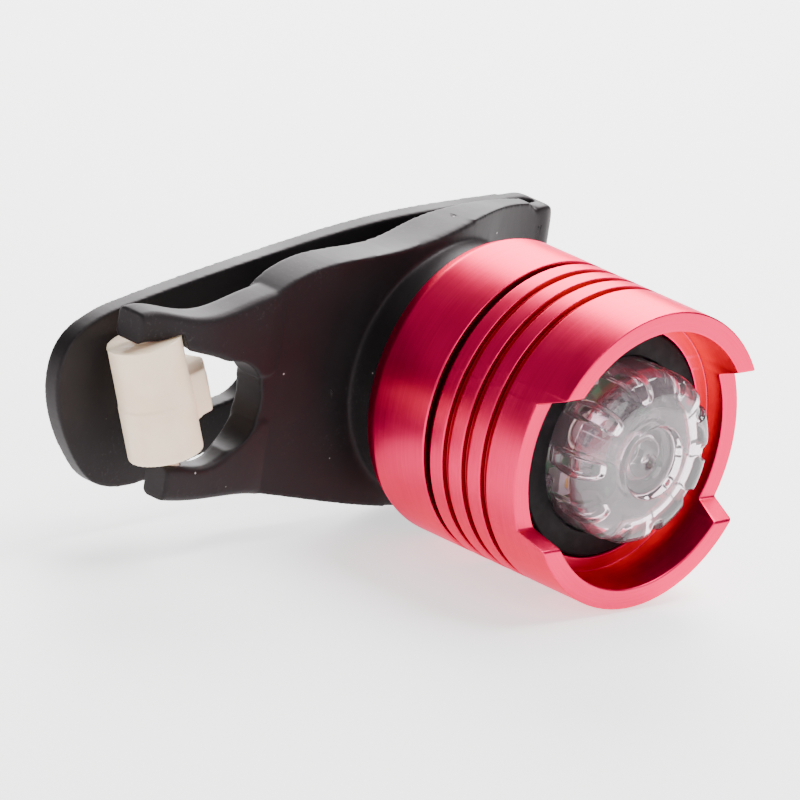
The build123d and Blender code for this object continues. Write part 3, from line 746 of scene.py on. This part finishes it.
def in_foot(point):
    """Whether a point lies on the flare of the boss behind the lamp."""
    radius = math.hypot(point.x / MM - LAMP_X, point.z / MM)
    return FOOT_RADII[0] < radius < FOOT_RADII[1] and FOOT_DEPTHS[0] < point.y / MM < FOOT_DEPTHS[1]


def in_fold_end(point):
    """Whether a point lies on an upper or lower edge of the fold."""
    end = point.z > FOLD_TOP * MM or point.z < FOLD_BOTTOM * MM
    low_edge = STRAP_EDGE[0] * MM < point.z < STRAP_EDGE[1] * MM
    return point.x > FOLD_ENDS_FROM * MM and (end or low_edge)


relaxed(skin, [v for v in skin.verts if in_foot(v.co)], 30)
relaxed(skin, [v for v in skin.verts if in_fold_end(v.co)], 26)
bmesh.ops.bisect_plane(skin, geom=list(skin.verts) + list(skin.edges) + list(skin.faces), dist=1e-7,
                       plane_co=(FOLD_CUT * MM, 0, 0), plane_no=(1, 0, 0))
print("skin:", len(skin.verts), "points")

# %% [markdown]
# ## Three pieces of one skin
# Right of the cut lies the fold. What is left falls apart in two: the mount in front and the strap behind
# it. The fold has no joint of its own and rides on no body.

# %% Mount, strap and fold
def loose_parts(bm):
    """Lists of connected faces."""
    left = set(bm.faces)
    groups = []
    while left:
        stack = [left.pop()]
        group = []
        while stack:
            face = stack.pop()
            group.append(face)
            for edge in face.edges:
                for other in edge.link_faces:
                    if other in left:
                        left.discard(other)
                        stack.append(other)
        groups.append(group)
    return groups


def piece_from(bm, keep, name, body):
    """New piece with only the faces in keep."""
    chosen = {face.index for face in keep}
    copy = bm.copy()
    bmesh.ops.delete(copy, geom=[face for face in copy.faces if face.index not in chosen], context="FACES")
    return finish_piece(name, to_mesh(copy, name), black_silicone, body, weighted=False)


def middle_y(group):
    """Mean place of a group of faces, along Y."""
    return sum(face.calc_center_median().y for face in group) / len(group)


skin.faces.index_update()
fold_faces = [face for face in skin.faces if face.calc_center_median().x > FOLD_CUT * MM]
rest = skin.copy()
rest.faces.ensure_lookup_table()
bmesh.ops.delete(rest, geom=[rest.faces[face.index] for face in fold_faces], context="FACES")
large = [group for group in loose_parts(rest) if len(group) > 2000]
rest.faces.index_update()
mount_skin = piece_from(rest, min(large, key=middle_y), "mount_skin", "mount")
strap_skin = piece_from(rest, max(large, key=middle_y), "strap_skin", "strap")
fold_skin = piece_from(skin, fold_faces, "strap_fold", None)
rest.free()
skin.free()
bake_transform(fold_skin)
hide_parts("mount_body")
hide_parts("strap")
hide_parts("strap_bend")
for piece in (mount_skin, strap_skin, fold_skin):
    print(piece.name, len(piece.data.vertices), "points")

# %% [markdown]
# ## Nylon hook
# The barrel turns on two spigots between the fork's arms, and its nose holds the strap. It comes from a
# two-part mould, so a fine line runs round the barrel, and one half stands a hair proud of the other. The
# spine that passes through the strap's eye is rounder than the barrel, so its points are relaxed further.

# %% Hook with its parting line
HOOK_AXIS = Vector((-0.27, 0.20, 1.0)).normalized()
HOOK_MIDDLE = Vector((-28.4, -0.9, 0.5)) * MM
PARTING = -0.5           # place of the parting line along the axis
PARTING_LINE = 0.05      # height of the line
PARTING_STEP = 0.07      # how far one half stands back


def from_hook_axis(point):
    """Distance along the hook's axis in mm, and the way out from the axis in metres."""
    along = (point - HOOK_MIDDLE).dot(HOOK_AXIS)
    return along / MM, (point - HOOK_MIDDLE) - HOOK_AXIS * along


hook_mesh = softened("hook_body", ["hook"], 0.13, 9)
bm = bmesh.new()
bm.from_mesh(hook_mesh)
relaxed(bm, [v for v in bm.verts if from_hook_axis(v.co)[1].length > 4.4 * MM], 24)
bm.to_mesh(hook_mesh)
bm.free()
for point in hook_mesh.vertices:
    along, out = from_hook_axis(point.co)
    if abs(along) < 6.0 and out.length > 3.6 * MM:
        line = PARTING_LINE * math.exp(-((along - PARTING) / 0.12) ** 2)
        step = PARTING_STEP / (1 + math.exp((along - PARTING) / 0.05)) - PARTING_STEP
        point.co += out.normalized() * (line + step) * MM
hook = finish_piece("hook_body", hook_mesh, nylon, "hook", weighted=False)
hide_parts("hook")
print(hook.name, len(hook.data.vertices), "points")

# %% [markdown]
# ## Helpers for small board parts
# Behind the clear lens lie the board, two light chips, a driver chip, chip resistors and the switch. They
# are so small that only their metal reads: end caps, legs, pads and screws. Two helpers make them, one for
# bevelled blocks and one for small turned pieces, and each can put many copies in one mesh.

# %% Blocks and discs
def board_point(u, v, ahead):
    """Point on the board: u to the right, v up, ahead from the lamp's back face."""
    return Vector(((LAMP_X + u) * MM, (LAMP_BACK - ahead) * MM, v * MM))


def blocks(name, boxes, material, body, edge=0.08):
    """One piece from several bevelled blocks; each is (u, v, back, width, height, depth)."""
    bm = bmesh.new()
    for u, v, back, width, height, depth in boxes:
        corners = [bm.verts.new(board_point(u + a * width / 2, v + b * height / 2, back + c * depth))
                   for a in (-1, 1) for b in (-1, 1) for c in (0, 1)]
        for quad in ((0, 1, 3, 2), (4, 6, 7, 5), (0, 4, 5, 1), (2, 3, 7, 6), (0, 2, 6, 4), (1, 5, 7, 3)):
            bm.faces.new([corners[i] for i in quad])
    bmesh.ops.recalc_face_normals(bm, faces=bm.faces)
    bmesh.ops.bevel(bm, geom=list(bm.edges), offset=edge * MM, segments=2, profile=0.6, affect="EDGES")
    return finish_piece(name, to_mesh(bm, name), material, body)


def discs(name, places, outline, material, body, turns=40):
    """Small turned pieces standing on the board at several places; outline is radius and distance ahead."""
    bm = bmesh.new()
    for u, v in places:
        rings = []
        for j in range(turns):
            angle = 2 * math.pi * j / turns
            rings.append([bm.verts.new(board_point(u + r * math.cos(angle), v + r * math.sin(angle), a))
                          for r, a in outline])
        for j in range(turns):
            a, b = rings[j], rings[(j + 1) % turns]
            for k in range(len(outline) - 1):
                bm.faces.new((a[k], a[k + 1], b[k + 1], b[k]))
    bmesh.ops.remove_doubles(bm, verts=bm.verts, dist=2e-7)
    bmesh.ops.recalc_face_normals(bm, faces=bm.faces)
    return finish_piece(name, to_mesh(bm, name), material, body)


print("board helpers ready")

# %% [markdown]
# ## Board and pads
# The board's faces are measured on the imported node, so the parts stand on it exactly. Each soldered part
# needs its pads, thin tinned rectangles that stand a hair above the mask.

# %% Board with pads
board_low, board_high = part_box("circuit_board")
BOARD_BACK = LAMP_BACK - board_high.y / MM
BOARD_FRONT = LAMP_BACK - board_low.y / MM
BOARD = 11.2
LED_V = 6.0
RESISTOR_U = -5.0
RESISTOR_VS = (-2.4, 0.0, 2.4)
SIDES = (-1, 1)

board_outline = rounded([(0.02, BOARD_BACK), (BOARD, BOARD_BACK, 0.1), (BOARD, BOARD_FRONT, 0.1),
                         (0.02, BOARD_FRONT)], 0.0)
board = turned("board_disc", board_outline, board_green, "lamp", 96)
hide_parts("circuit_board")
pads = [(2.75 * s, v, BOARD_FRONT, 0.9, 1.1, 0.04) for s in SIDES for v in (-1.6, 1.6)]
pads += [(2.1 * s, v, BOARD_FRONT, 0.7, 1.6, 0.04) for s in SIDES for v in (-LED_V, LED_V)]
pads += [(RESISTOR_U + s * 0.95, v, BOARD_FRONT, 0.6, 1.0, 0.04) for s in SIDES for v in RESISTOR_VS]
blocks("solder_pads", pads, tin, "lamp", 0.01)
print("board from", round(BOARD_BACK, 2), "to", round(BOARD_FRONT, 2), "mm ahead")

# %% [markdown]
# ## Light chips
# A light chip is a white case with a well full of yellow phosphor resin, and tinned ends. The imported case
# already has its well, so it is only dressed; the resin is a turned piece with a slightly domed top.

# %% Light chips
def dress(name, material):
    """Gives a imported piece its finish."""
    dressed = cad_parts[name]
    dressed.data.materials.clear()
    dressed.data.materials.append(material)
    print("dressed", name)


dress("led_cases", white_plastic)
resin_outline = [(0.02, 1.52), (0.35, 1.51), (0.6, 1.48), (0.79, 1.42), (0.79, 0.96), (0.02, 0.96)]
eyes = discs("led_resin", [(0, LED_V), (0, -LED_V)], [(r, BOARD_FRONT + a) for r, a in resin_outline],
             phosphor, "lamp")
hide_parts("led_eyes")
terminals = [(s * 1.76, v, BOARD_FRONT + 0.05, 0.10, 1.7, 0.75) for s in SIDES for v in (-LED_V, LED_V)]
blocks("led_terminals", terminals, tin, "lamp", 0.02)
print(len(terminals), "terminals")

# %% [markdown]
# ## Driver chip and resistors
# The driver chip has four legs on each side. Each leg is a short upright and a flat foot, so two blocks a
# leg are enough at this size. A chip resistor is a dark body between two bright end caps.

# %% Driver chip and resistors
CHIP_U = 5.6
LEG_PITCH = 0.95
LEG_WIDTH = 0.34

chip = blocks("driver_body", [(CHIP_U, 0, BOARD_FRONT + 0.12, 3.0, 4.0, 1.26)], black_plastic, "lamp", 0.12)
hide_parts("driver_chip")
legs = []
for side in SIDES:
    for k in range(4):
        v = (k - 1.5) * LEG_PITCH
        legs.append((CHIP_U + side * 1.62, v, BOARD_FRONT + 0.12, 0.24, LEG_WIDTH, 0.55))
        legs.append((CHIP_U + side * 1.80, v, BOARD_FRONT + 0.03, 0.36, LEG_WIDTH, 0.13))
blocks("driver_legs", legs, tin, "lamp", 0.03)
bodies = [(RESISTOR_U, v, BOARD_FRONT + 0.03, 1.0, 0.78, 0.44) for v in RESISTOR_VS]
resistors = blocks("resistor_bodies", bodies, grey_ceramic, "lamp", 0.05)
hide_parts("chip_resistors")
caps = [(RESISTOR_U + s * 0.65, v, BOARD_FRONT + 0.02, 0.29, 0.8, 0.48) for s in SIDES for v in RESISTOR_VS]
blocks("resistor_caps", caps, tin, "lamp", 0.05)
print(len(legs), "leg blocks,", len(caps), "end caps")

# %% [markdown]
# ## Switch and plunger
# The push switch sits in the middle of the board. Its case is packed with a hole for the plunger; a thin
# metal ring on top and four soldered legs make it read as a switch. The plunger rides on its own body,
# because the lens pushes it in.

# %% Switch and plunger
SWITCH_TOP = BOARD_FRONT + 2.2
RING_RISE = 0.07

dress("switch_case", black_plastic)
lid = [(1.62, SWITCH_TOP), (1.62, SWITCH_TOP + RING_RISE), (2.1, SWITCH_TOP + RING_RISE), (2.2, SWITCH_TOP),
       (1.62, SWITCH_TOP)]
discs("switch_ring", [(0, 0)], lid, nickel, "lamp", 48)
switch_legs = [(2.7 * s, v, BOARD_FRONT + 0.04, 0.75, 0.7, 0.16) for s in SIDES for v in (-1.6, 1.6)]
blocks("switch_legs", switch_legs, tin, "lamp", 0.03)
plunger_low, plunger_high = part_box("switch_plunger")
FRONT = LAMP_BACK - plunger_low.y / MM
BACK = LAMP_BACK - plunger_high.y / MM
plunger_outline = [(0.02, FRONT), (1.25, FRONT), (1.42, FRONT - 0.06), (1.5, FRONT - 0.2), (1.5, BACK),
                   (0.02, BACK)]
plunger = discs("plunger_button", [(0, 0)], plunger_outline, white_plastic, "plunger", 48)
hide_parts("switch_plunger")
print("plunger from", round(BACK, 2), "to", round(FRONT, 2), "mm ahead")

# %% [markdown]
# ## Parts that stay as packed
# Screws, cells, contacts, tray, cover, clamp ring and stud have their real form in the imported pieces. They
# are seen only through the lens or not at all, so each keeps its mesh and gets the finish of its kind.

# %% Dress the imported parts
finishes = {
    "board_screws": plated_steel, "stud_screw": plated_steel, "coin_cells": cell_steel,
    "rear_contact": nickel, "front_contact": nickel, "battery_tray": black_plastic,
    "cell_cover": black_plastic, "clamp_ring": black_plastic, "mount_stud": black_plastic,
}
for name, material in finishes.items():
    dress(name, material)

# %% [markdown]
# ## Floor
# The light lies on a plain pale floor, as in a product picture. It glows a little by itself, which keeps
# the ground pale without strong lamps that would wash out the red and the black.

# %% Floor
FLOOR_Z = -0.0163
floor_material, floor_tree, floor_shader = finish("pale_floor", (0.93, 0.93, 0.93), 0.6)
floor_grain = grains(floor_tree, place(floor_tree), 40.0, 3.0)
floor_tree.links.new(mixed(floor_tree, floor_grain, (0.94, 0.94, 0.94), (0.92, 0.92, 0.92)),
                     floor_shader.inputs["Base Color"])
floor_shader.inputs["Emission Color"].default_value = (1, 1, 1, 1)
floor_shader.inputs["Emission Strength"].default_value = 1.15
bm = bmesh.new()
bmesh.ops.create_grid(bm, x_segments=4, y_segments=4, size=4.0)
floor = bpy.data.objects.new("floor", to_mesh(bm, "floor"))
floor.location = (0, 0, FLOOR_Z)
floor.data.materials.append(floor_material)
bpy.context.scene.collection.objects.link(floor)
print("floor at z", FLOOR_Z)

# %% [markdown]
# ## Lights
# One soft light stands overhead to the right and a wide one behind, which draws the pale edge along the top
# of the silicone. Two weak ones fill the front and the left. All are kept low, because bright light pales a
# saturated red.

# %% Lights
def soft_light(name, where, width, power):
    """Round soft light that looks at the saddle."""
    data = bpy.data.lights.new(name, "AREA")
    data.shape = "DISK"
    data.size = width
    data.energy = power
    lamp = bpy.data.objects.new(name, data)
    bpy.context.scene.collection.objects.link(lamp)
    lamp.location = where
    lamp.rotation_euler = (-Vector(where)).to_track_quat("-Z", "Y").to_euler()
    print(name, "at", where)


soft_light("key", (0.20, -0.02, 0.42), 0.30, 4.2)
soft_light("back_glow", (0.30, 0.34, 0.26), 0.40, 5.2)
soft_light("front_fill", (-0.10, -0.45, 0.24), 0.35, 1.3)
soft_light("left_rim", (-0.45, 0.05, 0.18), 0.25, 0.25)
world = bpy.data.worlds.new("soft room")
bpy.context.scene.world = world
world.use_nodes = True
world.node_tree.nodes["Background"].inputs["Color"].default_value = (1, 1, 1, 1)
world.node_tree.nodes["Background"].inputs["Strength"].default_value = 0.38

# %% [markdown]
# ## Camera
# A small object looks natural through a long lens from far away. The picture's right, and the way back to
# the camera, were found by fitting the round edges of the barrel in the photograph, and the scale of the
# picture then gives the distance.

# %% Camera
RIGHT = Vector((0.70832, -0.69091, 0.14465)).normalized()
BACKWARD = Vector((-0.69621, -0.64996, 0.30472)).normalized()
UP = BACKWARD.cross(RIGHT).normalized()
FOCAL_LENGTH = 612.7
SENSOR = 36.0
PICTURE = 800             # width of the picture in pixels
PIXELS_PER_MM = 9.7248
SHIFT_RIGHT = 5.4088      # picture's middle from the saddle's middle, in mm
SHIFT_DOWN = 3.484

aim = (RIGHT * SHIFT_RIGHT - UP * SHIFT_DOWN) * MM
distance = FOCAL_LENGTH / SENSOR * PICTURE / PIXELS_PER_MM * MM
camera_data = bpy.data.cameras.new("camera")
camera_data.lens = FOCAL_LENGTH
camera_data.sensor_width = SENSOR
camera_data.clip_start = 0.05
camera_data.clip_end = 20.0
camera = bpy.data.objects.new("camera", camera_data)
bpy.context.scene.collection.objects.link(camera)
axes = Matrix((RIGHT, UP, BACKWARD)).transposed().to_4x4()
camera.matrix_world = Matrix.Translation(aim + BACKWARD * distance) @ axes
bpy.context.scene.camera = camera
print("camera at", [round(value, 3) for value in camera.location])
